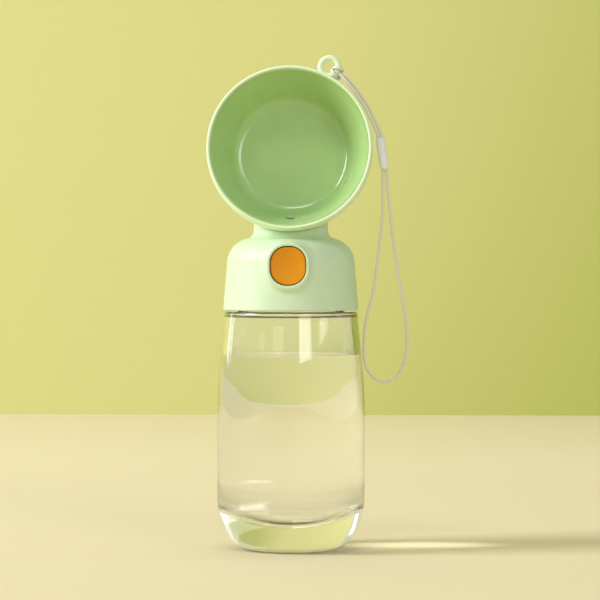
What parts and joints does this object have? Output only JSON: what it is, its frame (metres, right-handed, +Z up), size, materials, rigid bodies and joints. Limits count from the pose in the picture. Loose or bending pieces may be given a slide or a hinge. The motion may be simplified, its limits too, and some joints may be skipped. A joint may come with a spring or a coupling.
{
  "type": "dog travel water bottle",
  "caption": "Clear travel bottle for dogs with a thick base, a screw lid with a push-button valve, a drinking bowl on a short neck and a wrist lanyard with a bead.",
  "frame": {"origin": "centre of the flat foot, on the surface that the bottle stands on", "axes": "+Z up along the bottle's axis; the button and the bowl's opening face -Y; +X is to the right seen from the front"},
  "size_m": [0.094, 0.0696, 0.2317],
  "materials": {
    "clear_body": "clear, glossy",
    "mint": "satin",
    "green_liner": "glossy",
    "orange": "satin",
    "white_plastic": "satin",
    "silicone": "matte",
    "steel": "bright",
    "cord": "braided",
    "bead": "matte"
  },
  "bodies": {
    "bottle": {"bottle_body": "clear_body"},
    "seal": {"mouth_seal": "silicone"},
    "lid": {"lid_shell": "mint", "thread_insert": "white_plastic", "valve_housing": "white_plastic", "housing_gasket": "silicone", "housing_screws": "steel", "water_duct": "silicone", "stem_seal": "silicone", "valve_spring": "steel", "button_spring": "steel", "bowl_shell": "mint", "bowl_liner": "green_liner", "lanyard_cord": "cord", "lanyard_hitch": "cord", "lanyard_bead": "bead"},
    "button": {"button_cap": "orange", "button_slide": "white_plastic"},
    "valve": {"valve_stem": "white_plastic", "valve_plug": "silicone", "plug_retainer": "white_plastic"}
  },
  "joints": [
    {"name": "lid_lift", "type": "slide", "parent": "bottle", "child": "seal", "axis": [0, 0, 1], "range_m": [0, 0.00596]},
    {"name": "lid_turn", "type": "hinge", "parent": "seal", "child": "lid", "pos_m": [0, 0, 0.12], "axis": [0, 0, 1], "range_deg": [0, 630]},
    {"name": "button_press", "type": "slide", "parent": "lid", "child": "button", "axis": [0, 1, 0], "range_m": [0, 0.003], "stiffness_N_per_m": 300, "springref_m": -0.003, "deforming": ["button_spring"]},
    {"name": "valve_open", "type": "slide", "parent": "lid", "child": "valve", "axis": [0, 0, -1], "range_m": [0, 0.003], "stiffness_N_per_m": 300, "springref_m": -0.003, "deforming": ["valve_spring"]}
  ],
  "couplings": [
    {"joint": "lid_lift", "follows": "lid_turn", "m_per_rad": 0.00054113},
    {"joint": "valve_open", "follows": "button_press", "ratio": 1}
  ]
}
